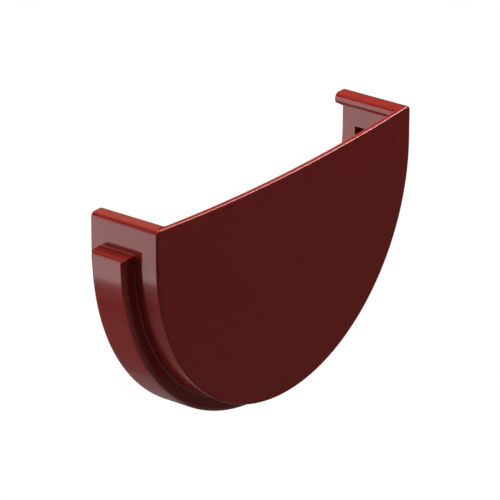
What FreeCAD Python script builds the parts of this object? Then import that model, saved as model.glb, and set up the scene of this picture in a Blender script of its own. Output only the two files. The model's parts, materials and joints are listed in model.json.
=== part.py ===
import FreeCAD
import Part
import math
import os

import Sketcher

# Gutter end cap: a one-piece plastic moulding that closes the end of a half-round gutter.
# Millimetres. X runs across the gutter, Y from the front face towards the gutter, Z up.
# The origin is the centre of the half round, on the plate's inner face, where the cut end
# of the gutter stops. The features are drawn from the front face and moved there at the end.

SIZES = (
    ("outer_radius", 64.0, "outer radius of the skirt and of the end plate"),
    ("side_height", 11.5, "height of the straight sides above the centre of the half round"),
    ("depth", 25.0, "front face to the rear edge of the skirt"),
    ("wall", 1.7, "thickness of the skirt"),
    ("plate", 1.5, "thickness of the end plate"),
    ("top_dip", 2.6, "how far the plate's top edge dips in the middle"),
    ("corner_radius", 1.6, "round along the outer top corners"),
    ("front_radius", 0.5, "round along the outline of the front face"),
    ("rim_radius", 0.25, "small round along the rear edge of the skirt and the lips"),
    ("lip_width", 6.0, "outer face of the skirt to the nose of a lip"),
    ("lip_face", 2.3, "top of a lip to the lower end of its upright nose"),
    ("lip_top_radius", 1.8, "round between a lip's top and its nose"),
    ("lip_under_radius", 1.3, "round between a lip's nose and its underside"),
    ("lip_under_angle", 30.0, "slope of a lip's underside down to the wall, in degrees"),
    ("band_front", 8.7, "front face to the front side of the seal band"),
    ("band_width", 13.0, "seal band along the gutter"),
    ("band_height", 4.6, "seal band above the outer face of the skirt"),
    ("band_wall", 1.6, "thickness of the seal band's sides and ends"),
    ("band_edge_radius", 1.55, "round along the outer edges of the seal band"),
    ("band_end_radius", 1.3, "round across the outer end of the seal band"),
    ("root_radius", 0.3, "small round where the seal band meets the skirt"),
)

VALUE = {name: value for name, value, note in SIZES}
UP = FreeCAD.Vector(0, 0, 1)
START = 1
END = 2
CENTRE = 3
ORIGIN_POINT = (-1, 1)
VERTICAL_AXIS = -2
HALF_TURN = 180.0
TOUCH = 1e-4
ALONG_EDGE = (0, 0.25, 0.5, 0.75, 1)


def point(x, y):
    """A point in a sketch's own plane."""
    return FreeCAD.Vector(x, y, 0)


def line(x1, y1, x2, y2):
    """A straight piece of outline."""
    return Part.LineSegment(point(x1, y1), point(x2, y2))


def arc(x, y, radius, start, end):
    """A round piece of outline about a centre, angles in degrees, anticlockwise."""
    circle = Part.Circle(point(x, y), UP, radius)
    return Part.ArcOfCircle(circle, math.radians(start), math.radians(end))


def fill_sheet(doc):
    """Driving dimensions, one row each: name, number, what it is."""
    sheet = doc.addObject("Spreadsheet::Sheet", "Sizes")
    for row, (name, value, note) in enumerate(SIZES, start=1):
        sheet.set(f"A{row}", name)
        sheet.set(f"B{row}", str(value))
        sheet.set(f"C{row}", note)
        sheet.setAlias(f"B{row}", name)
    doc.recompute()


def origin_plane(body, role):
    """The body's own origin plane with this role, such as XZ_Plane."""
    return next(item for item in body.Origin.OriginFeatures if item.Role == role)


def new_sketch(body, name, role, offset=None):
    """An empty sketch on an origin plane, moved along its normal by an expression."""
    sketch = body.newObject("Sketcher::SketchObject", name)
    sketch.AttachmentSupport = [(origin_plane(body, role), "")]
    sketch.MapMode = "FlatFace"
    if offset:
        sketch.setExpression("AttachmentOffset.Base.z", offset)
    return sketch


def rule(sketch, kind, *places):
    """A constraint that needs no size."""
    sketch.addConstraint(Sketcher.Constraint(kind, *places))


def size(sketch, name, formula, kind, *places):
    """A constraint whose size follows the sheet."""
    index = sketch.addConstraint(Sketcher.Constraint(kind, *places))
    sketch.renameConstraint(index, name)
    sketch.setExpression(f"Constraints.{name}", formula)


def close_loop(sketch, count, tangent=()):
    """Join each piece's end to the next one's start, smoothly at the pieces named."""
    for index in range(count):
        kind = "Tangent" if index in tangent else "Coincident"
        rule(sketch, kind, index, END, (index + 1) % count, START)


def half_round(sketch, radius, radius_formula, top, top_formula):
    """Half a circle about the origin, closed above by two upright sides and a flat top."""
    sketch.addGeometry(arc(0, 0, radius, HALF_TURN, 2 * HALF_TURN))
    sketch.addGeometry(line(radius, 0, radius, top))
    sketch.addGeometry(line(radius, top, -radius, top))
    sketch.addGeometry(line(-radius, top, -radius, 0))
    bowl, right, lid, left = range(4)
    close_loop(sketch, 4, tangent=(bowl, left))
    rule(sketch, "Coincident", bowl, CENTRE, *ORIGIN_POINT)
    rule(sketch, "Vertical", right)
    rule(sketch, "Horizontal", lid)
    rule(sketch, "Vertical", left)
    size(sketch, "radius", radius_formula, "Radius", bowl, radius)
    size(sketch, "top", top_formula, "DistanceY", *ORIGIN_POINT, lid, START, top)


def pad(body, name, sketch, formula, against_normal):
    """Extrude a sketch along its plane's normal, or against it."""
    feature = body.newObject("PartDesign::Pad", name)
    feature.Profile = sketch
    feature.Reversed = against_normal
    feature.Refine = True
    feature.setExpression("Length", formula)
    return feature


def pocket(body, name, sketch, formula=None):
    """Cut a sketch away towards the gutter, through everything where no length is given."""
    feature = body.newObject("PartDesign::Pocket", name)
    feature.Profile = sketch
    feature.Refine = True
    if formula:
        feature.setExpression("Length", formula)
    else:
        feature.Type = "ThroughAll"
    return feature


def mirror(body, name, originals):
    """Repeat features on the other side of the cap's middle plane."""
    feature = body.newObject("PartDesign::Mirrored", name)
    feature.Originals = originals
    feature.MirrorPlane = (origin_plane(body, "YZ_Plane"), [""])
    feature.Refine = True
    body.Tip = feature
    return feature


def round_edges(doc, body, name, base, choose, formula):
    """Fillet the edges of a feature that a test picks by their place."""
    doc.recompute()
    names = [f"Edge{i}" for i, edge in enumerate(base.Shape.Edges, start=1) if choose(edge)]
    if not names:
        raise RuntimeError(f"{name}: no edge found")
    feature = body.newObject("PartDesign::Fillet", name)
    feature.Base = (base, names)
    feature.setExpression("Radius", formula)
    feature.Refine = True
    return feature


def samples(edge):
    """Points along an edge, ends included."""
    first, last = edge.ParameterRange
    return [edge.valueAt(first + (last - first) * share) for share in ALONG_EDGE]


def near(a, b):
    """Whether two lengths are the same."""
    return abs(a - b) < TOUCH


def skirt_and_plate(body):
    """The half-round block, hollowed from behind so that the end plate stays."""
    outline = new_sketch(body, "OutlineSketch", "XZ_Plane")
    half_round(outline, VALUE["outer_radius"], "Sizes.outer_radius",
               VALUE["side_height"], "Sizes.side_height")
    pad(body, "OuterBlock", outline, "Sizes.depth", against_normal=True)

    hollow = new_sketch(body, "HollowSketch", "XZ_Plane", "-Sizes.plate")
    half_round(hollow, VALUE["outer_radius"] - VALUE["wall"], "Sizes.outer_radius - Sizes.wall",
               VALUE["side_height"] + VALUE["wall"], "Sizes.side_height + Sizes.wall")
    pocket(body, "Hollow", hollow)


def lips(body):
    """An inward lip on each wall top: flat above, a rounded nose, a sloping underside."""
    nose = VALUE["outer_radius"] - VALUE["lip_width"]
    root = VALUE["outer_radius"] - VALUE["wall"] / 2
    top = VALUE["side_height"]
    upper = VALUE["lip_top_radius"]
    lower = VALUE["lip_under_radius"]
    slope = VALUE["lip_under_angle"]
    face_end = top - VALUE["lip_face"]
    turn = math.radians(slope)
    under_x = nose + lower * (1 - math.sin(turn))
    under_y = face_end - lower * math.cos(turn)
    root_y = under_y - (root - under_x) * math.tan(turn)

    sketch = new_sketch(body, "LipSketch", "XZ_Plane")
    sketch.addGeometry(line(root, root_y, root, top))
    sketch.addGeometry(line(root, top, nose + upper, top))
    sketch.addGeometry(arc(nose + upper, top - upper, upper, 90, 180))
    sketch.addGeometry(line(nose, top - upper, nose, face_end))
    sketch.addGeometry(arc(nose + lower, face_end, lower, 180, 270 - slope))
    sketch.addGeometry(line(under_x, under_y, root, root_y))
    inside_wall, flat_top, top_round, nose_face, under_round, underside = range(6)
    close_loop(sketch, 6, tangent=(flat_top, top_round, nose_face, under_round))
    rule(sketch, "Vertical", inside_wall)
    rule(sketch, "Horizontal", flat_top)
    rule(sketch, "Vertical", nose_face)
    size(sketch, "root", "Sizes.outer_radius - Sizes.wall / 2",
         "DistanceX", *ORIGIN_POINT, inside_wall, START, root)
    size(sketch, "top", "Sizes.side_height", "DistanceY", *ORIGIN_POINT, flat_top, START, top)
    size(sketch, "nose", "Sizes.outer_radius - Sizes.lip_width",
         "DistanceX", *ORIGIN_POINT, nose_face, START, nose)
    size(sketch, "face_end", "Sizes.side_height - Sizes.lip_face",
         "DistanceY", *ORIGIN_POINT, nose_face, END, face_end)
    size(sketch, "upper", "Sizes.lip_top_radius", "Radius", top_round, upper)
    size(sketch, "lower", "Sizes.lip_under_radius", "Radius", under_round, lower)
    size(sketch, "slope", "(90 - Sizes.lip_under_angle) * 1 deg", "Angle",
         inside_wall, START, underside, END, math.radians(90 - slope))
    lip = pad(body, "Lip", sketch, "Sizes.depth", against_normal=True)
    return mirror(body, "LipMirrored", [lip])


def top_corners(doc, body, base):
    """Round the outer top corners along the whole depth."""
    radius = VALUE["outer_radius"]
    top = VALUE["side_height"]

    def outer_top(edge):
        return all(near(abs(p.x), radius) and near(p.z, top) for p in samples(edge))

    round_edges(doc, body, "TopCorners", base, outer_top, "Sizes.corner_radius")


def dip(body):
    """Lower the plate's top edge in one shallow arc between the rounded corners."""
    half = VALUE["outer_radius"] - VALUE["corner_radius"]
    top = VALUE["side_height"]
    drop = VALUE["top_dip"]
    radius = (half * half + drop * drop) / (2 * drop)
    reach = math.degrees(math.asin(half / radius))
    above = top + VALUE["plate"]

    sketch = new_sketch(body, "DipSketch", "XZ_Plane")
    sketch.addGeometry(arc(0, top - drop + radius, radius, 270 - reach, 270 + reach))
    sketch.addGeometry(line(half, top, half, above))
    sketch.addGeometry(line(half, above, -half, above))
    sketch.addGeometry(line(-half, above, -half, top))
    bowl, right, lid, left = range(4)
    close_loop(sketch, 4)
    rule(sketch, "PointOnObject", bowl, CENTRE, VERTICAL_AXIS)
    rule(sketch, "Horizontal", bowl, START, bowl, END)
    rule(sketch, "Vertical", right)
    rule(sketch, "Horizontal", lid)
    rule(sketch, "Vertical", left)
    size(sketch, "half", "Sizes.outer_radius - Sizes.corner_radius",
         "DistanceX", *ORIGIN_POINT, right, START, half)
    size(sketch, "top", "Sizes.side_height", "DistanceY", *ORIGIN_POINT, right, START, top)
    size(sketch, "above", "Sizes.side_height + Sizes.plate",
         "DistanceY", *ORIGIN_POINT, lid, START, above)
    size(sketch, "bow",
         "((Sizes.outer_radius - Sizes.corner_radius)^2 + Sizes.top_dip^2) / (2 * Sizes.top_dip)",
         "Radius", bowl, radius)
    pocket(body, "TopDip", sketch, "Sizes.plate")


def seal_band(body):
    """The raised band round the outside: a half ring that runs on a little past its ends."""
    inner = VALUE["outer_radius"] - VALUE["wall"] / 2
    outer = VALUE["outer_radius"] + VALUE["band_height"]
    front = VALUE["band_front"]
    rear = front + VALUE["band_width"]
    edge = VALUE["band_edge_radius"]

    section = new_sketch(body, "BandSection", "XY_Plane")
    section.addGeometry(line(inner, rear, inner, front))
    section.addGeometry(line(inner, front, outer - edge, front))
    section.addGeometry(arc(outer - edge, front + edge, edge, 270, 360))
    section.addGeometry(line(outer, front + edge, outer, rear - edge))
    section.addGeometry(arc(outer - edge, rear - edge, edge, 0, 90))
    section.addGeometry(line(outer - edge, rear, inner, rear))
    inside, front_side, front_round, crown, rear_round, rear_side = range(6)
    close_loop(section, 6, tangent=(front_side, front_round, crown, rear_round))
    rule(section, "Vertical", inside)
    rule(section, "Horizontal", front_side)
    rule(section, "Vertical", crown)
    rule(section, "Horizontal", rear_side)
    rule(section, "Equal", front_round, rear_round)
    size(section, "inner", "Sizes.outer_radius - Sizes.wall / 2",
         "DistanceX", *ORIGIN_POINT, inside, START, inner)
    size(section, "outer", "Sizes.outer_radius + Sizes.band_height",
         "DistanceX", *ORIGIN_POINT, crown, START, outer)
    size(section, "front", "Sizes.band_front", "DistanceY", *ORIGIN_POINT, front_side, START, front)
    size(section, "width", "Sizes.band_width", "DistanceY", inside, END, inside, START, rear - front)
    size(section, "edge", "Sizes.band_edge_radius", "Radius", front_round, edge)

    ring = body.newObject("PartDesign::Revolution", "BandRing")
    ring.Profile = section
    ring.ReferenceAxis = (section, ["V_Axis"])
    ring.Angle = HALF_TURN
    ring.Refine = True
    stub = pad(body, "BandEnd", section, "Sizes.band_wall", against_normal=False)
    rounding = band_end_round(body)
    mirror(body, "BandEndMirrored", [stub, rounding])


def band_end_round(body):
    """Round the band's end across its outer edge, straight through from side to side."""
    outer = VALUE["outer_radius"] + VALUE["band_height"]
    top = VALUE["band_wall"]
    radius = VALUE["band_end_radius"]
    sketch = new_sketch(body, "BandEndSketch", "XZ_Plane", "-Sizes.band_front")
    sketch.addGeometry(line(outer - radius, top, outer - radius, top + radius))
    sketch.addGeometry(line(outer - radius, top + radius, outer + radius, top + radius))
    sketch.addGeometry(line(outer + radius, top + radius, outer + radius, top - radius))
    sketch.addGeometry(line(outer + radius, top - radius, outer, top - radius))
    sketch.addGeometry(arc(outer - radius, top - radius, radius, 0, 90))
    left, lid, right, floor, bend = range(5)
    close_loop(sketch, 5)
    rule(sketch, "Vertical", left)
    rule(sketch, "Horizontal", lid)
    rule(sketch, "Vertical", right)
    rule(sketch, "Horizontal", floor)
    rule(sketch, "Horizontal", bend, CENTRE, bend, START)
    rule(sketch, "Vertical", bend, CENTRE, bend, END)
    size(sketch, "outer", "Sizes.outer_radius + Sizes.band_height",
         "DistanceX", *ORIGIN_POINT, bend, START, outer)
    size(sketch, "top", "Sizes.band_wall", "DistanceY", *ORIGIN_POINT, bend, END, top)
    size(sketch, "bend", "Sizes.band_end_radius", "Radius", bend, radius)
    size(sketch, "above", "Sizes.band_end_radius", "DistanceY", left, START, left, END, radius)
    size(sketch, "beyond", "Sizes.band_end_radius", "DistanceX", floor, END, floor, START, radius)
    return pocket(body, "BandEndRound", sketch, "Sizes.band_width")


def seal_channel(body):
    """The empty channel for the seal inside the band, open to the bowl, closed at its ends."""
    inner = VALUE["outer_radius"] - 2 * VALUE["wall"]
    outer = VALUE["outer_radius"] + VALUE["band_height"] - VALUE["band_wall"]
    front = VALUE["band_front"] + VALUE["band_wall"]
    rear = VALUE["band_front"] + VALUE["band_width"] - VALUE["band_wall"]
    section = new_sketch(body, "ChannelSection", "XY_Plane")
    section.addGeometry(line(inner, front, outer, front))
    section.addGeometry(line(outer, front, outer, rear))
    section.addGeometry(line(outer, rear, inner, rear))
    section.addGeometry(line(inner, rear, inner, front))
    front_side, floor, rear_side, mouth = range(4)
    close_loop(section, 4)
    rule(section, "Horizontal", front_side)
    rule(section, "Vertical", floor)
    rule(section, "Horizontal", rear_side)
    rule(section, "Vertical", mouth)
    size(section, "inner", "Sizes.outer_radius - 2 * Sizes.wall",
         "DistanceX", *ORIGIN_POINT, mouth, END, inner)
    size(section, "outer", "Sizes.outer_radius + Sizes.band_height - Sizes.band_wall",
         "DistanceX", *ORIGIN_POINT, floor, START, outer)
    size(section, "front", "Sizes.band_front + Sizes.band_wall",
         "DistanceY", *ORIGIN_POINT, front_side, START, front)
    size(section, "rear", "Sizes.band_front + Sizes.band_width - Sizes.band_wall",
         "DistanceY", *ORIGIN_POINT, rear_side, START, rear)
    groove = body.newObject("PartDesign::Groove", "SealChannel")
    groove.Profile = section
    groove.ReferenceAxis = (section, ["V_Axis"])
    groove.Angle = HALF_TURN
    groove.Refine = True
    return groove


def small_rounds(doc, body, base):
    """Rounds along the front outline, the band's root and the rear rim."""
    radius = VALUE["outer_radius"]
    depth = VALUE["depth"]
    band_front = VALUE["band_front"]
    band_rear = band_front + VALUE["band_width"]

    def on_skirt(p):
        across = math.hypot(p.x, p.z) if p.z < 0 else abs(p.x)
        return near(across, radius)

    def front_outline(edge):
        return all(near(p.y, 0) for p in samples(edge))

    def band_root(edge):
        inside = all(band_front - TOUCH < p.y < band_rear + TOUCH for p in samples(edge))
        return inside and all(on_skirt(p) for p in samples(edge))

    def rear_rim(edge):
        return all(near(p.y, depth) for p in samples(edge))

    front = round_edges(doc, body, "FrontRound", base, front_outline, "Sizes.front_radius")
    root = round_edges(doc, body, "BandRoot", front, band_root, "Sizes.root_radius")
    return round_edges(doc, body, "RearRim", root, rear_rim, "Sizes.rim_radius")


def check(doc, bodies):
    """Stop where an object has failed or a solid isn't valid."""
    for item in doc.Objects:
        if "Invalid" in item.State or "Error" in item.State:
            raise RuntimeError(f"{item.Name}: {item.State}")
    for body in bodies:
        shape = body.Shape
        if shape.isNull() or not shape.isValid() or len(shape.Solids) != 1:
            raise RuntimeError(f"{body.Label}: not one valid solid")


def build_end_cap(doc):
    """The whole cap, feature by feature, as it is moulded."""
    body = doc.addObject("PartDesign::Body", "EndCap")
    body.Label = "end_cap"
    body.Placement = FreeCAD.Placement()
    body.setExpression("Placement.Base.y", "-Sizes.plate")
    skirt_and_plate(body)
    top_corners(doc, body, lips(body))
    dip(body)
    seal_band(body)
    channel = seal_channel(body)
    body.Tip = small_rounds(doc, body, channel)
    doc.recompute()
    return body


def main():
    doc = FreeCAD.newDocument("GutterEndCap")
    fill_sheet(doc)
    bodies = [build_end_cap(doc)]
    check(doc, bodies)
    os.makedirs("parts", exist_ok=True)
    for body in bodies:
        body.Shape.exportStep(f"parts/{body.Label}.step")
        box = body.Shape.BoundBox
        print(f"{body.Label}: {body.Shape.Volume / 1000:.2f} cm3, "
              f"{box.XLength:.1f} x {box.YLength:.1f} x {box.ZLength:.1f} mm, "
              f"{len(body.Shape.Faces)} faces")


main()
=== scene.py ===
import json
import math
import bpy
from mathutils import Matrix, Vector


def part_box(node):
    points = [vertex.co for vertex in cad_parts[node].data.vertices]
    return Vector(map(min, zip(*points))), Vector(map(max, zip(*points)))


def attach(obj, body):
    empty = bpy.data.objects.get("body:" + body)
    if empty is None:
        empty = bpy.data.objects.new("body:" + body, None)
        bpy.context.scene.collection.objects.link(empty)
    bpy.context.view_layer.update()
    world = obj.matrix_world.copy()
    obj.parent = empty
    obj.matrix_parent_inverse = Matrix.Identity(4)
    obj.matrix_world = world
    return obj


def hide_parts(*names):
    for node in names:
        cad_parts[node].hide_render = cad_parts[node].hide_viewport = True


bl_info = {
    "name": "Gutter End Cap",
    "version": (1, 0, 0),
    "blender": (4, 5, 0),
    "location": "View3D > Sidebar > End Cap",
    "description": "A moulded half-round gutter end cap with its seal band, finish and studio",
    "category": "Object",
}

import bmesh
import bpy
import numpy as np
from bpy.props import FloatProperty, FloatVectorProperty, PointerProperty
from mathutils import Matrix, Vector

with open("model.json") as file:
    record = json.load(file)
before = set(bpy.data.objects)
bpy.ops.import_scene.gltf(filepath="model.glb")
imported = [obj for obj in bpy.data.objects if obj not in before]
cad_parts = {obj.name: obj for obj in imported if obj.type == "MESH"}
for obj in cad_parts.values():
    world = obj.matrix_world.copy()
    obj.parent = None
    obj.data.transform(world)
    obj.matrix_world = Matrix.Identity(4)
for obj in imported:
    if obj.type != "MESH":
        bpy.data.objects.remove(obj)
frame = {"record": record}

# Sizes that the frame gives

# Lengths are in metres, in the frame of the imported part: X across the gutter, Y from the
# end plate towards the gutter, Z up, origin at the half round's centre on the plate's inner face.
# FRONT is the front face's place along Y and DEPTH the way from it to the rear edge. SIDE_HEIGHT
# is the height of the walls' tops, BAND_RADIUS the seal band's outer radius, and PLATE the
# thickness of the end plate.
MM = 0.001
CAD_LOW, CAD_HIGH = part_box("end_cap")
SOCKET = next(mount for mount in frame["record"]["mounts"] if mount["name"] == "gutter_socket")
INNER_RADIUS = SOCKET["dims"]["r_mm"] * MM
FRONT = CAD_LOW.y
DEPTH = CAD_HIGH.y - CAD_LOW.y
SIDE_HEIGHT = CAD_HIGH.z
BAND_RADIUS = CAD_HIGH.x
PLATE = -CAD_LOW.y

# Steps along the curves and across the flat faces

# TURN holds the angles along a round's quarter circle, and SMALL_TURN those of a small round.
BOWL_STEPS = 90
SIDE_STEPS = 4
ROUND_STEPS = 8
CORNER_STEPS = 12
LIP_SLOPE_STEPS = 3
LIP_END_STEPS = 4
FACE_STEPS = 12
QUARTER = np.pi / 2
TURN = np.linspace(0, QUARTER, ROUND_STEPS + 1)
SMALL_TURN = TURN[::2]

# Joining and shading of the mesh

# Points that agree to MERGE_DECIMALS places are one. A quad is flat where its halves lean apart
# by less than 0.1 degrees. Faces that lean apart by more than CREASE are shaded apart.
MERGE_DECIMALS = 7
FLAT_COSINE = np.cos(np.radians(0.1))
CREASE = np.radians(35.0)

# Noise in the plastic

# It keeps mostly to the middle half of its range.
NOISE_LOW = 0.25
NOISE_HIGH = 0.75

# Lamps, floor, world and camera

# Each lamp's azimuth, from +X towards +Y, and its elevation, both in degrees as seen from the
# cap's middle, its distance, width and height in metres, its radiance, where 1 is white in a
# mirror, and its colour. The room's light is a little red, and warmer from high up.
PINK = (1.15, 1.0, 1.0)
WARM = (1.20, 1.0, 0.75)
LAMPS_AIM = Vector((0.0, 0.01, -0.025))
LAMPS = {
    "back_panel": (132.2, -2.9, 0.603, 0.320, 0.580, 2.50, PINK),
    "back_fade_1": (132.2, -28.97, 0.671, 0.320, 0.009, 1.20, PINK),
    "back_fade_2": (132.2, -29.92, 0.677, 0.320, 0.013, 0.60, PINK),
    "back_fade_3": (132.2, -31.22, 0.685, 0.320, 0.018, 0.55, PINK),
    "back_fade_4": (132.2, -33.03, 0.697, 0.320, 0.026, 0.27, PINK),
    "back_fade_5": (132.2, -35.63, 0.717, 0.320, 0.038, 0.24, PINK),
    "back_left": (150.1, -3.4, 0.634, 0.065, 0.225, 2.42, PINK),
    "overhead": (53.1, 85.7, 0.404, 0.363, 0.196, 5.80, PINK),
    "overhead_back": (99.0, 54.0, 0.900, 0.300, 0.200, 0.40, PINK),
    "high_left": (62.0, 48.0, 0.900, 0.200, 0.200, 0.55, WARM),
    "high_middle": (60.0, 35.0, 0.900, 0.300, 0.300, 0.75, WARM),
    "high_right": (42.0, 30.0, 0.900, 0.200, 0.200, 0.24, WARM),
    "right_wide": (36.0, 22.0, 0.900, 0.400, 0.400, 0.08, WARM),
    "side_strip": (-15.4, 38.1, 0.700, 0.440, 0.136, 4.70, PINK),
    "front_high": (-30.0, 38.0, 2.000, 0.300, 0.300, 17.8, PINK),
    "front_middle": (-34.0, 28.0, 2.000, 0.260, 0.420, 4.00, PINK),
    "left_panel": (-97.0, 5.0, 0.800, 0.340, 0.340, 0.30, PINK),
    "far_panel": (165.0, 10.0, 0.800, 0.340, 0.340, 0.66, PINK),
    "low_fill": (90.0, -80.0, 0.330, 0.150, 0.150, 0.30, PINK),
    "low_back": (53.0, -45.0, 0.450, 0.250, 0.250, 0.085, PINK),
    "low_front": (-115.0, -38.0, 0.450, 0.550, 0.300, 0.12, PINK),
}

# FLOOR_TONE and ROOM_GLOW are the floor's grey and the world's strength as the cap sees them.
# Half the floor's width and the camera's reach are in metres, its sensor in millimetres.
WHITE = (1.0, 1.0, 1.0, 1.0)
FLOOR_TONE = 0.3
FLOOR_HALF = 6.0
ROOM_GLOW = 0.01
SENSOR_WIDTH = 36.0
CLIP_END = 50.0


# Values that a user may change


def length(name, description, default):
    """A length that a user may change, in metres."""
    return FloatProperty(
        name=name, description=description, default=default, min=0.0, precision=6,
        subtype="DISTANCE", unit="LENGTH")


class CapSizes(bpy.types.PropertyGroup):
    """Sizes of the moulding that its box and its mounts don't give."""

    wall: length("Wall", "Thickness of the skirt", 1.7 * MM)
    top_dip: length("Top dip", "How far the plate's top edge dips in the middle", 2.6 * MM)
    corner_radius: length("Corner radius", "Round along the outer top corners", 1.6 * MM)
    front_radius: length("Front radius", "Round along the front face's outline", 0.6 * MM)
    rim_radius: length("Rim radius", "Small round along the rear edge", 0.25 * MM)
    lip_width: length("Lip width", "Outer face of the skirt to a lip's nose", 6.0 * MM)
    lip_face: length("Lip face", "Top of a lip to the lower end of its nose", 2.3 * MM)
    lip_top_radius: length("Lip top radius", "Round between a lip's top and nose", 1.8 * MM)
    lip_under_radius: length("Lip under radius", "Round under a lip's nose", 1.3 * MM)
    lip_slope: FloatProperty(
        name="Lip slope", description="Slope of a lip's underside down to the wall",
        default=np.radians(30.0), subtype="ANGLE", unit="ROTATION")
    band_front: length("Band front", "Front face to the seal band", 8.7 * MM)
    band_width: length("Band width", "Seal band along the gutter", 13.0 * MM)
    band_wall: length("Band wall", "Thickness of the seal band's sides and ends", 1.6 * MM)
    band_edge_radius: length("Band edge radius", "Round along the band's edges", 1.55 * MM)
    band_end_radius: length("Band end radius", "Round across the band's end", 1.3 * MM)
    root_radius: length("Root radius", "Small round where the band meets the skirt", 0.5 * MM)


class CapFinish(bpy.types.PropertyGroup):
    """Colour and surface of the moulded plastic."""

    colour: FloatVectorProperty(
        name="Colour", description="Wine red of the moulded plastic", size=3,
        default=(0.3435, 0.028, 0.0205), min=0.0, max=1.0, subtype="COLOR")
    tone_shift: FloatProperty(
        name="Tone shift", description="Share by which the pigment's flow shifts the colour",
        default=0.03, min=0.0, max=1.0, subtype="FACTOR")
    flow_size: length("Flow size", "Width of the pigment's flow marks", 22 * MM)
    roughness: FloatProperty(
        name="Roughness", description="Gloss of the moulded skin", default=0.11,
        min=0.0, max=1.0, subtype="FACTOR")
    gloss_shift: FloatProperty(
        name="Gloss shift", description="How far the roughness varies either way",
        default=0.015, min=0.0, max=1.0, subtype="FACTOR")
    gloss_size: length("Gloss size", "Width of the patches of gloss", 5 * MM)
    ripple_size: length("Ripple size", "Width of the skin's slow ripple", 14 * MM)
    ripple_depth: length("Ripple depth", "Height of the slow ripple", 0.006 * MM)
    grain_size: length("Grain size", "Width of the mould's fine grain", 0.3 * MM)
    grain_depth: length("Grain depth", "Height of the fine grain", 0.00015 * MM)


class StudioSettings(bpy.types.PropertyGroup):
    """Where the camera stands and how far below the cap the floor lies."""

    azimuth: FloatProperty(
        name="Azimuth", description="Camera's direction round the cap, from the front towards +X",
        default=np.radians(-52.912), subtype="ANGLE", unit="ROTATION")
    elevation: FloatProperty(
        name="Elevation", description="Camera's height angle",
        default=np.radians(23.411), subtype="ANGLE", unit="ROTATION")
    roll: FloatProperty(
        name="Roll", description="Camera's turn about its own axis",
        default=np.radians(0.187), subtype="ANGLE", unit="ROTATION")
    distance: length("Distance", "Camera to its aim", 1.2671)
    aim: FloatVectorProperty(
        name="Aim", description="Point that the camera looks at", size=3,
        default=(-0.0192, -0.0015, -0.00947), subtype="TRANSLATION", unit="LENGTH")
    lens: FloatProperty(
        name="Lens", description="Focal length in millimetres", default=303.12, min=1.0)
    floor_drop: length("Floor drop", "Lowest point of the cap to the floor", 0.40)


# Outline across the gutter


def arc(centre, radius, start, end, count):
    """Points and outward normals along a circle's arc: centre + radius * (cos, sin)."""
    angle = np.linspace(start, end, count + 1)
    normal = np.stack([np.cos(angle), np.sin(angle)], -1)
    return np.asarray(centre) + radius * normal, normal


def straight(start, end, normal, count):
    """Evenly spaced points between two ends, all with one normal."""
    share = np.linspace(0, 1, count + 1)[:, None]
    points = (1 - share) * np.asarray(start) + share * np.asarray(end)
    return points, np.tile(np.asarray(normal, float), (count + 1, 1))


def chain(pieces):
    """Points and normals of pieces that follow each other, each without its first point."""
    all_points, all_normals = zip(*pieces)
    return (np.concatenate([points[1:] for points in all_points]),
            np.concatenate([normals[1:] for normals in all_normals]))


def upper_crossing(centre_a, radius_a, centre_b, radius_b):
    """Where two circles cross, on the side of b that lies towards the middle plane.

    With the centres d apart, the crossing lies (d^2 + ra^2 - rb^2) / 2d along the line from
    a to b, and off that line by the root of ra^2 less the square of this way.
    """
    centre_a, centre_b = np.asarray(centre_a), np.asarray(centre_b)
    between = centre_b - centre_a
    apart = np.hypot(*between)
    along = between / apart
    reach = (apart**2 + radius_a**2 - radius_b**2) / (2 * apart)
    off = np.sqrt(radius_a**2 - reach**2)
    return centre_a + reach * along + off * np.array([along[1], -along[0]])


def band_sizes(sizes):
    """The skirt's outer radius, the band's height above it, and its channel's depth."""
    radius = INNER_RADIUS + sizes.wall
    return radius, BAND_RADIUS - radius, BAND_RADIUS - sizes.band_wall - INNER_RADIUS


def top_circle(sizes):
    """The centre and radius of the plate's top edge, which ends where the corners' rounds begin.

    With half chord c and dip h, the radius is (c^2 + h^2) / 2h.
    """
    half_chord = INNER_RADIUS + sizes.wall - sizes.corner_radius
    radius = (half_chord**2 + sizes.top_dip**2) / (2 * sizes.top_dip)
    return (0.0, SIDE_HEIGHT - sizes.top_dip + radius), radius


def lip_outline(sizes):
    """The lip's points and normals, the height of its root, and where the plate's edge meets it.

    A straight underside slopes up from the root on the wall to a round, the nose is upright,
    and another round leads to the level top. The plate's top edge crosses that last round,
    and from there it is drawn with LIP_END_STEPS.
    """
    nose = INNER_RADIUS + sizes.wall - sizes.lip_width
    face_end = SIDE_HEIGHT - sizes.lip_face
    slope_normal = (-np.sin(sizes.lip_slope), -np.cos(sizes.lip_slope))
    under = np.array([nose + sizes.lip_under_radius * (1 - np.sin(sizes.lip_slope)),
                      face_end - sizes.lip_under_radius * np.cos(sizes.lip_slope)])
    root = under[1] - (INNER_RADIUS - under[0]) * np.tan(sizes.lip_slope)
    nose_centre = (nose + sizes.lip_top_radius, SIDE_HEIGHT - sizes.lip_top_radius)
    top_centre, top_radius = top_circle(sizes)
    meeting = upper_crossing(top_centre, top_radius, nose_centre, sizes.lip_top_radius)
    meeting_angle = np.arctan2(meeting[1] - nose_centre[1], meeting[0] - nose_centre[0])
    points, normals = chain([
        straight((INNER_RADIUS, root), under, slope_normal, LIP_SLOPE_STEPS),
        arc((nose + sizes.lip_under_radius, face_end), sizes.lip_under_radius,
            3 * QUARTER - sizes.lip_slope, 2 * QUARTER, ROUND_STEPS),
        straight((nose, face_end), (nose, nose_centre[1]), (-1, 0), 1),
        arc(nose_centre, sizes.lip_top_radius, 2 * QUARTER, meeting_angle, ROUND_STEPS),
        arc(nose_centre, sizes.lip_top_radius, meeting_angle, QUARTER, LIP_END_STEPS),
    ])
    return points, normals, root, meeting


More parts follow.
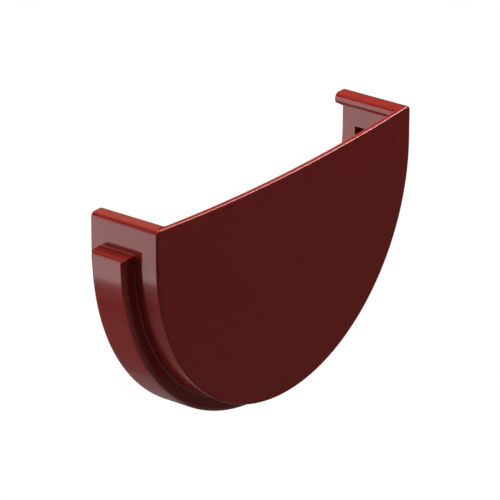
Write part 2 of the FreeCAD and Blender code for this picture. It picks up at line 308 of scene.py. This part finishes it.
def side_stations(sizes, band_height, lip_root):
    """Heights on the straight side, and how far the seal band may stand out at each.

    The band runs on past the half round and ends in a flat face, as high up as its wall is
    thick, with a quarter circle along the face's outer edge and a small one along its foot.
    From there to the lip's root the side is bare.
    """
    round_start = sizes.band_wall - sizes.band_end_radius
    end_z = round_start + sizes.band_end_radius * np.sin(TURN)
    end_limit = band_height - sizes.band_end_radius * (1 - np.cos(TURN))
    foot_z = sizes.band_wall + sizes.root_radius * (1 - np.cos(SMALL_TURN))
    foot_limit = sizes.root_radius * (1 - np.sin(SMALL_TURN))
    bare_z = np.linspace(foot_z[-1], lip_root, SIDE_STEPS + 1)[1:]
    heights = np.concatenate([[0.0], end_z, foot_z, bare_z])
    limits = np.concatenate([[band_height], end_limit, foot_limit, np.zeros(SIDE_STEPS)])
    return heights, limits


def plate_edge(sizes, outer, meeting):
    """The plate's top edge: a point and a normal for each station of the outer outline.

    Its height is the circle's centre less the root of R^2 - x^2. Up to where it meets the lip
    its points are spaced in x as the outer ones are along their outline, and past it evenly,
    one for each of the lip's last points, up to the outer outline's end.
    """
    centre, radius = top_circle(sizes)
    step = np.hypot(*np.diff(outer, axis=0).T)
    way = np.concatenate([[0.0], np.cumsum(step)])
    last = len(outer) - 1 - LIP_END_STEPS
    past = np.arange(len(outer)) - last
    x = np.where(past <= 0, meeting[0] * way / way[last],
                 meeting[0] + (outer[-1, 0] - meeting[0]) * past / LIP_END_STEPS)
    points = np.stack([x, centre[1] - np.sqrt(radius**2 - x**2)], -1)
    return points, (np.array(centre) - points) / radius


def right_outline(sizes):
    """The right half of the cap's outline across the gutter, from the bottom to the top.

    Returns the outer points and normals, the inner ones and those of the plate's top edge,
    and two limits for each station: how far the seal band may stand out there, and how deep
    its channel may be. The half round is an arc from straight down to level, the side is
    straight, and the lip is straight pieces and arcs. A station stands twice where the band
    or the channel ends, so that the step between the two makes its flat end face.
    """
    radius, band_height, channel_depth = band_sizes(sizes)
    lip, lip_normal, lip_root, meeting = lip_outline(sizes)
    heights, side_limit = side_stations(sizes, band_height, lip_root)
    bowl, bowl_normal = arc((0, 0), radius, -QUARTER, 0, BOWL_STEPS)
    outer_side = np.stack([np.full(len(heights), radius), heights], -1)
    inner_side = np.stack([np.full(len(heights), INNER_RADIUS), heights], -1)
    right = np.tile([1.0, 0.0], (len(heights), 1))

    # Behind the lip the outer face and its top corner have as many points as the lip.
    corner_centre = (radius - sizes.corner_radius, SIDE_HEIGHT - sizes.corner_radius)
    outer_lip, outer_lip_normal = chain([
        straight((radius, lip_root), (radius, corner_centre[1]), (1, 0), len(lip) - CORNER_STEPS),
        arc(corner_centre, sizes.corner_radius, 0, QUARTER, CORNER_STEPS),
    ])

    # In the hollow corner under the lip an inset runs along the bisector of both faces.
    left = -right
    both = left[-1] + lip_normal[0]
    left[-1] = both / (1 + np.dot(left[-1], lip_normal[0]))

    outer = np.concatenate([bowl, outer_side, outer_lip])
    outer_normal = np.concatenate([bowl_normal, right, outer_lip_normal])
    inner = np.concatenate([bowl * (INNER_RADIUS / radius), inner_side, lip])
    inner_normal = np.concatenate([-bowl_normal, left, lip_normal])

    # At the top corner the plate's edge is drawn in as the outer outline is.
    edge, edge_normal = plate_edge(sizes, outer, meeting)
    edge_normal[-1] = outer_normal[-1]

    band_limit = np.concatenate([
        np.full(len(bowl), band_height), side_limit, np.zeros(len(lip))])
    channel_limit = np.where(np.arange(len(outer)) < len(bowl), channel_depth, 0.0)
    limits = np.stack([band_limit, channel_limit], -1)
    return (outer, outer_normal, inner, inner_normal, edge, edge_normal), limits


def both_halves(values, turn_x=True):
    """The values of a right half with its mirror image: left top, bottom, right top.

    On the left the first of a station's values changes its sign, unless turn_x is off.
    """
    left = values[::-1].copy()
    if turn_x:
        left[:, 0] *= -1
    return np.concatenate([left[:-1], values])


# Section along the gutter


def section_rows(depth, band=0.0, channel=0.0, inset=0.0):
    """Rows of depth, band height, channel depth and inset, from single values or arrays."""
    return np.stack(np.broadcast_arrays(np.atleast_1d(depth), band, channel, inset), -1)


def side_section(sizes):
    """The section along the gutter from front to rear, and the row of the plate's inner face.

    Each round is a quarter circle: the front edge and the rear rim draw the outline in, the
    band's root rounds and edge rounds lift the band off the skirt and over to its crown.
    A depth stands twice where the channel's sides are.
    """
    band_height, channel_depth = band_sizes(sizes)[1:]
    front = section_rows(sizes.front_radius * (1 - np.cos(TURN)),
                         inset=sizes.front_radius * (1 - np.sin(TURN)))
    root = section_rows(sizes.band_front - sizes.root_radius * (1 - np.sin(SMALL_TURN)),
                        band=sizes.root_radius * (1 - np.cos(SMALL_TURN)))
    edge = section_rows(sizes.band_front + sizes.band_edge_radius * (1 - np.cos(TURN)),
                        band=band_height - sizes.band_edge_radius * (1 - np.sin(TURN)))
    side = sizes.band_front + sizes.band_wall
    middle = sizes.band_front + sizes.band_width / 2
    near_half = np.concatenate([
        root, edge, section_rows(side, band_height),
        section_rows([side, middle], band_height, channel_depth)])
    far_half = near_half[::-1][1:].copy()
    far_half[:, 0] = 2 * middle - far_half[:, 0]
    rim = section_rows(DEPTH - sizes.rim_radius * (1 - np.sin(SMALL_TURN)),
                       inset=sizes.rim_radius * (1 - np.cos(SMALL_TURN)))
    return np.concatenate([front, section_rows(PLATE), near_half, far_half, rim]), len(front)


# Mesh


class Patches:
    """Grids of points, collected and joined into one mesh where their edges meet."""

    def __init__(self):
        self.points = []
        self.quads = []
        self.count = 0

    def add(self, grid):
        """A grid of points, rows by columns by 3, as quads between neighbours."""
        rows, columns = grid.shape[:2]
        index = np.arange(rows * columns).reshape(rows, columns) + self.count
        quads = np.stack([index[:-1, :-1], index[1:, :-1], index[1:, 1:], index[:-1, 1:]], -1)
        self.points.append(grid.reshape(-1, 3))
        self.quads.append(quads.reshape(-1, 4))
        self.count += rows * columns

    def joined(self):
        """The points and faces, with points that coincide made one.

        A face is four points. A quad that isn't flat becomes two triangles, each with its last
        point twice, and a face that closes up to a line goes.
        """
        points = np.concatenate(self.points)
        quads = np.concatenate(self.quads)
        rounded = np.round(points, MERGE_DECIMALS)
        first, where = np.unique(rounded, axis=0, return_index=True, return_inverse=True)[1:]
        points = points[first]
        quads = where.reshape(-1)[quads]
        halves = np.stack([quads[:, [0, 1, 2, 2]], quads[:, [0, 2, 3, 3]]])
        true_half = [face_size(points, half) > 0 for half in halves]
        lean = [face_normal(points, half) for half in halves]
        flat = true_half[0] & true_half[1] & (np.sum(lean[0] * lean[1], -1) > FLAT_COSINE)
        split = [half[true & ~flat] for half, true in zip(halves, true_half)]
        return points, np.concatenate([quads[flat], *split])


def vector_area(points, faces):
    """Half the cross product of a face's diagonals, which holds for a triangle too."""
    first, second, third, fourth = (points[faces[:, corner]] for corner in range(4))
    return np.cross(third - first, fourth - second) / 2


def face_size(points, faces):
    """The area of each face that has three points or more, and 0 for a closed-up one."""
    first, second, third = faces[:, 0], faces[:, 1], faces[:, 2]
    area = np.linalg.norm(vector_area(points, faces), axis=-1)
    return np.where((first != second) & (second != third) & (third != first), area, 0.0)


def face_normal(points, faces):
    """The unit normal of each face, zero for a closed-up one."""
    area = vector_area(points, faces)
    size = np.linalg.norm(area, axis=-1, keepdims=True)
    return area / np.where(size > 0, size, 1.0)


def corner_normals(points, faces):
    """The normal at each corner of each face, as on the true surface.

    It is the mean normal of the faces round the corner's point that lean from this face by less
    than the crease angle, weighted with the square of their areas. So the wide flat face sets
    the normal where a narrow round runs out on it, and like neighbours share it in a round.
    """
    normal = face_normal(points, faces)
    weighted = normal * np.sum(vector_area(points, faces)**2, -1, keepdims=True)
    corner = np.arange(faces.size)
    once = np.ones(faces.shape, bool)
    once[:, 3] = faces[:, 3] != faces[:, 2]
    corner = corner[once.reshape(-1)]
    corner = corner[np.argsort(faces.reshape(-1)[corner], kind="stable")]
    point = faces.reshape(-1)[corner]
    face = corner // 4
    start = np.searchsorted(point, point, "left")
    count = np.searchsorted(point, point, "right") - start
    total = np.zeros((len(corner), 3))
    for turn in range(count.max()):
        other = face[start + (np.arange(len(corner)) - start + turn) % count]
        near = np.sum(normal[face] * normal[other], -1) > np.cos(CREASE)
        total += weighted[other] * (near & (turn < count))[:, None]
    result = np.zeros((faces.size, 3))
    result[corner] = total / np.linalg.norm(total, axis=-1, keepdims=True)
    return result.reshape(*faces.shape, 3)


def sweep(outline, normal, depth, lift):
    """Carry an outline along Y: point = outline + normal * lift, at each row's depth.

    outline and normal are stations by 2, and lift is rows by stations.
    """
    across = outline[None] + normal[None] * lift[..., None]
    place = np.broadcast_to(depth[:, None, None] + FRONT, lift.shape + (1,))
    return np.concatenate([across[..., :1], place, across[..., 1:]], -1)


def ruled(first, second, depth, count):
    """A flat face across the gutter, as straight lines from one outline to the other."""
    share = np.linspace(0, 1, count + 1)[:, None, None]
    across = (1 - share) * first[None] + share * second[None]
    place = np.full(across.shape[:2] + (1,), depth + FRONT)
    return np.concatenate([across[..., :1], place, across[..., 1:]], -1)


def cap_mesh(sizes):
    """The whole moulding as one closed mesh.

    Every wall is an outline across the gutter, carried along the depth. Outside, the lift is
    the band's height, no more than the station's limit, less the inset of the rounds. Inside,
    it is the channel's depth, turned outwards, less the same inset. Flat faces are ruled
    between two outlines.
    """
    halves, limits = right_outline(sizes)
    outer, outer_normal, inner, inner_normal, edge, edge_normal = map(both_halves, halves)
    band_limit, channel_limit = both_halves(limits, turn_x=False).T
    section, plate_row = side_section(sizes)
    depth, band, channel, inset = section.T
    stations = len(outer)
    behind = slice(plate_row, None)
    in_plate = slice(0, plate_row + 1)
    between_lips = slice(LIP_END_STEPS, stations - LIP_END_STEPS)
    lips = (slice(0, LIP_END_STEPS + 1), slice(stations - LIP_END_STEPS - 1, stations))

    patches = Patches()
    outer_lift = np.minimum(band[:, None], band_limit[None]) - inset[:, None]
    patches.add(sweep(outer, outer_normal, depth, outer_lift))
    inner_lift = -np.minimum(channel[:, None], channel_limit[None]) - inset[:, None]
    patches.add(sweep(inner, inner_normal, depth, inner_lift)[behind])
    inset_lift = -np.repeat(inset[:, None], stations, 1)
    top_edge = sweep(edge, edge_normal, depth, inset_lift)[in_plate]
    patches.add(top_edge)

    # The lips' level tops, between the outer wall's ends and the inner wall's.
    outer_wall = sweep(outer, outer_normal, depth, inset_lift)
    inner_wall = sweep(inner, inner_normal, depth, inset_lift)
    for end in (0, -1):
        patches.add(np.stack([outer_wall[behind, end], inner_wall[behind, end]], 1))

    # The front face, the rear rim, the plate's inner face between the lips, and the lips' ends
    # above the plate's top edge.
    across = [0, 2]
    patches.add(ruled(outer_wall[0][:, across], top_edge[0][:, across], 0.0, FACE_STEPS))
    patches.add(ruled(outer_wall[-1][:, across], inner_wall[-1][:, across], DEPTH, 1))
    patches.add(ruled(inner[between_lips], edge[between_lips], PLATE, FACE_STEPS))
    for lip in lips:
        patches.add(ruled(edge[lip], inner[lip], PLATE, 1))
    return patches.joined()


def new_piece(name, points, faces):
    """A mesh object with its faces outwards, smooth apart from its creases."""
    mesh = bpy.data.meshes.new(name)
    is_triangle = faces[:, 3] == faces[:, 2]
    quads, triangles = faces[~is_triangle], faces[is_triangle][:, :3]
    mesh.from_pydata(points.tolist(), [], quads.tolist() + triangles.tolist())
    solid = bmesh.new()
    solid.from_mesh(mesh)
    bmesh.ops.recalc_face_normals(solid, faces=solid.faces)
    solid.to_mesh(mesh)
    solid.free()

    corners = np.empty(len(mesh.loops), int)
    mesh.loops.foreach_get("vertex_index", corners)
    quads = corners[:quads.size].reshape(-1, 4)
    triangles = corners[quads.size:].reshape(-1, 3)[:, [0, 1, 2, 2]]
    normals = corner_normals(points, np.concatenate([quads, triangles]))
    mesh.shade_smooth()
    mesh.set_sharp_from_angle(angle=CREASE)
    mesh.normals_split_custom_set(np.concatenate([
        normals[:len(quads)].reshape(-1, 3), normals[len(quads):, :3].reshape(-1, 3)]).tolist())
    piece = bpy.data.objects.new(name, mesh)
    bpy.context.scene.collection.objects.link(piece)
    return piece


# Plastic


def node(tree, kind, place, **values):
    """A shader node with its settings."""
    made = tree.nodes.new(kind)
    made.location = place
    for name, value in values.items():
        setattr(made, name, value)
    return made


def noise(tree, coordinates, place, size, detail, distortion=0.0):
    """3D noise on the object's own coordinates, with features of about the given size."""
    made = node(tree, "ShaderNodeTexNoise", place)
    made.inputs["Scale"].default_value = 1.0 / size
    made.inputs["Detail"].default_value = detail
    made.inputs["Distortion"].default_value = distortion
    tree.links.new(coordinates.outputs["Object"], made.inputs["Vector"])
    return made.outputs["Fac"]


def spread(tree, value, place, low, high):
    """Stretch the middle half of a noise over a range."""
    made = node(tree, "ShaderNodeMapRange", place)
    made.inputs["From Min"].default_value = NOISE_LOW
    made.inputs["From Max"].default_value = NOISE_HIGH
    made.inputs["To Min"].default_value = low
    made.inputs["To Max"].default_value = high
    tree.links.new(value, made.inputs["Value"])
    return made.outputs["Result"]


def bump(tree, height, place, depth, under=None):
    """Height as a bump of the given depth in metres, on top of another bump."""
    made = node(tree, "ShaderNodeBump", place)
    made.inputs["Distance"].default_value = depth
    tree.links.new(height, made.inputs["Height"])
    if under is not None:
        tree.links.new(under, made.inputs["Normal"])
    return made.outputs["Normal"]


def moulded_plastic(finish):
    """Wine-red moulded plastic with a glossy skin.

    The pigment's flow shifts the tone a little over centimetres, the gloss varies over
    millimetres, and the skin has a slow ripple from shrinkage and a fine grain from the mould.
    """
    material = bpy.data.materials.new("wine_red_plastic")
    material.use_nodes = True
    tree = material.node_tree
    shader = tree.nodes["Principled BSDF"]
    shader.location = (300, 0)
    tree.nodes["Material Output"].location = (600, 0)
    coordinates = node(tree, "ShaderNodeTexCoord", (-1000, 0))

    flow = noise(tree, coordinates, (-800, 300), finish.flow_size, detail=3.0, distortion=0.6)
    share = spread(tree, flow, (-600, 300), 0.0, 1.0)
    tone = node(tree, "ShaderNodeMix", (-300, 300), data_type="RGBA")
    dark, light = (Vector(finish.colour) * (1 + side * finish.tone_shift) for side in (-1, 1))
    tone.inputs["A"].default_value = (*dark, 1.0)
    tone.inputs["B"].default_value = (*light, 1.0)
    tree.links.new(share, tone.inputs["Factor"])
    tree.links.new(tone.outputs["Result"], shader.inputs["Base Color"])

    sheen = noise(tree, coordinates, (-800, 0), finish.gloss_size, detail=4.0)
    gloss = spread(tree, sheen, (-600, 0), finish.roughness - finish.gloss_shift,
                   finish.roughness + finish.gloss_shift)
    tree.links.new(gloss, shader.inputs["Roughness"])

    slow = noise(tree, coordinates, (-800, -300), finish.ripple_size, detail=1.0)
    fine = noise(tree, coordinates, (-800, -600), finish.grain_size, detail=2.0)
    ripple = bump(tree, slow, (-300, -300), finish.ripple_depth)
    grain = bump(tree, fine, (0, -300), finish.grain_depth, under=ripple)
    tree.links.new(grain, shader.inputs["Normal"])
    return material


class MESH_OT_make_moulded_cap(bpy.types.Operator):
    """Make the moulded end cap in place of the plain CAD node"""

    bl_idname = "mesh.make_moulded_cap"
    bl_label = "Make Moulded Cap"

    def execute(self, context):
        points, faces = cap_mesh(context.scene.cap_sizes)
        cap = new_piece("moulded_cap", points, faces)
        cap.data.materials.append(moulded_plastic(context.scene.cap_finish))
        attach(cap, "root")
        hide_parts("end_cap")
        return {"FINISHED"}


# Studio


def camera_axes(azimuth, elevation, roll):
    """The camera's right, up and back directions, turned about its own axis by the roll.

    Back is (sin a cos e, -cos a cos e, sin e). Before the roll, right is level and up is square
    to both.
    """
    back = Vector((math.sin(azimuth) * math.cos(elevation),
                   -math.cos(azimuth) * math.cos(elevation), math.sin(elevation)))
    level = Vector((math.cos(azimuth), math.sin(azimuth), 0.0))
    upright = back.cross(level)
    right = math.cos(roll) * level + math.sin(roll) * upright
    up = -math.sin(roll) * level + math.cos(roll) * upright
    return right, up, back


def add_camera(studio):
    """The camera at the photographed angle, level but for a slight roll."""
    right, up, back = camera_axes(studio.azimuth, studio.elevation, studio.roll)
    data = bpy.data.cameras.new("camera")
    data.lens = studio.lens
    data.sensor_width = SENSOR_WIDTH
    data.clip_end = CLIP_END
    camera = bpy.data.objects.new("camera", data)
    bpy.context.scene.collection.objects.link(camera)
    place = Vector(studio.aim) + back * studio.distance
    camera.matrix_world = Matrix((
        (right.x, up.x, back.x, place.x),
        (right.y, up.y, back.y, place.y),
        (right.z, up.z, back.z, place.z),
        (0.0, 0.0, 0.0, 1.0)))
    bpy.context.scene.camera = camera


def add_softbox(name, azimuth, elevation, distance, width, height, radiance, colour):
    """A rectangular area light that faces the cap's middle, unseen by the camera.

    Its way from there is (cos e cos a, cos e sin a, sin e), times the distance, and its power
    is radiance * pi * area, which its colour multiplies.
    """
    data = bpy.data.lights.new(name, "AREA")
    data.shape = "RECTANGLE"
    data.size = width
    data.size_y = height
    data.energy = radiance * math.pi * width * height
    data.color = colour
    lamp = bpy.data.objects.new(name, data)
    bpy.context.scene.collection.objects.link(lamp)
    azimuth, elevation = math.radians(azimuth), math.radians(elevation)
    way = Vector((math.cos(elevation) * math.cos(azimuth),
                  math.cos(elevation) * math.sin(azimuth), math.sin(elevation)))
    lamp.location = LAMPS_AIM + way * distance
    lamp.rotation_mode = "QUATERNION"
    lamp.rotation_quaternion = (-way).to_track_quat("-Z", "Y")
    lamp.visible_camera = False


def apart_for_camera(tree, camera_shader, other_shader):
    """A mix of two shaders: the camera sees the first, and every other ray the second."""
    light_path = node(tree, "ShaderNodeLightPath", (-400, 200))
    mix = node(tree, "ShaderNodeMixShader", (0, 0))
    tree.links.new(light_path.outputs["Is Camera Ray"], mix.inputs["Fac"])
    tree.links.new(other_shader, mix.inputs[1])
    tree.links.new(camera_shader, mix.inputs[2])
    return mix.outputs["Shader"]


def floor_material():
    """White to the camera, a soft grey to the cap, and clear from below."""
    material = bpy.data.materials.new("floor")
    material.use_nodes = True
    tree = material.node_tree
    tree.nodes.clear()
    diffuse = node(tree, "ShaderNodeBsdfDiffuse", (-200, 0))
    diffuse.inputs["Color"].default_value = (FLOOR_TONE, FLOOR_TONE, FLOOR_TONE, 1.0)
    glow = node(tree, "ShaderNodeEmission", (-200, -150))
    glow.inputs["Strength"].default_value = 1.0
    upper = apart_for_camera(tree, glow.outputs["Emission"], diffuse.outputs["BSDF"])
    side = node(tree, "ShaderNodeNewGeometry", (0, 300))
    clear = node(tree, "ShaderNodeBsdfTransparent", (0, -150))
    both = node(tree, "ShaderNodeMixShader", (200, 0))
    output = node(tree, "ShaderNodeOutputMaterial", (400, 0))
    tree.links.new(side.outputs["Backfacing"], both.inputs["Fac"])
    tree.links.new(upper, both.inputs[1])
    tree.links.new(clear.outputs["BSDF"], both.inputs[2])
    tree.links.new(both.outputs["Shader"], output.inputs["Surface"])
    return material


def add_floor(studio):
    """A wide plain floor below the cap."""
    level = CAD_LOW.z - studio.floor_drop
    signs = [(-1, -1), (1, -1), (1, 1), (-1, 1)]
    corners = [(x * FLOOR_HALF, y * FLOOR_HALF, level) for x, y in signs]
    mesh = bpy.data.meshes.new("floor")
    mesh.from_pydata(corners, [], [(0, 1, 2, 3)])
    mesh.materials.append(floor_material())
    floor = bpy.data.objects.new("floor", mesh)
    bpy.context.scene.collection.objects.link(floor)


def set_world():
    """A dim even world, white to the camera."""
    world = bpy.data.worlds.new("studio")
    bpy.context.scene.world = world
    world.use_nodes = True
    tree = world.node_tree
    tree.nodes.clear()
    dim = node(tree, "ShaderNodeBackground", (-200, 0))
    dim.inputs["Color"].default_value = WHITE
    dim.inputs["Strength"].default_value = ROOM_GLOW
    white = node(tree, "ShaderNodeBackground", (-200, -150))
    white.inputs["Color"].default_value = WHITE
    output = node(tree, "ShaderNodeOutputWorld", (200, 0))
    mix = apart_for_camera(tree, white.outputs["Background"], dim.outputs["Background"])
    tree.links.new(mix, output.inputs["Surface"])


class SCENE_OT_make_studio(bpy.types.Operator):
    """Make the floor, the lights, the world and the camera"""

    bl_idname = "scene.make_studio"
    bl_label = "Make Studio"

    def execute(self, context):
        studio = context.scene.cap_studio
        add_floor(studio)
        set_world()
        for name, lamp in LAMPS.items():
            add_softbox(name, *lamp)
        add_camera(studio)
        context.scene.view_settings.view_transform = "Standard"
        return {"FINISHED"}


# Panel and registration


class VIEW3D_PT_end_cap(bpy.types.Panel):
    """End cap tools"""

    bl_label = "End Cap"
    bl_space_type = "VIEW_3D"
    bl_region_type = "UI"
    bl_category = "End Cap"

    def draw(self, context):
        layout = self.layout
        for group in (context.scene.cap_sizes, context.scene.cap_finish, context.scene.cap_studio):
            box = layout.box()
            for name in group.__annotations__:
                box.prop(group, name)
        layout.operator(MESH_OT_make_moulded_cap.bl_idname)
        layout.operator(SCENE_OT_make_studio.bl_idname)


CLASSES = (
    CapSizes,
    CapFinish,
    StudioSettings,
    MESH_OT_make_moulded_cap,
    SCENE_OT_make_studio,
    VIEW3D_PT_end_cap,
)


def register():
    """Register the classes, and give the scene their sizes, finish and studio settings."""
    for item in CLASSES:
        bpy.utils.register_class(item)
    bpy.types.Scene.cap_sizes = PointerProperty(type=CapSizes)
    bpy.types.Scene.cap_finish = PointerProperty(type=CapFinish)
    bpy.types.Scene.cap_studio = PointerProperty(type=StudioSettings)


def unregister():
    """Take back all that register did."""
    del bpy.types.Scene.cap_studio
    del bpy.types.Scene.cap_finish
    del bpy.types.Scene.cap_sizes
    for item in reversed(CLASSES):
        bpy.utils.unregister_class(item)


def main():
    """Make the cap and its studio."""
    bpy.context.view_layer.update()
    register()
    bpy.ops.mesh.make_moulded_cap()
    bpy.ops.scene.make_studio()
    bpy.context.view_layer.update()


if __name__ == "__main__":
    main()
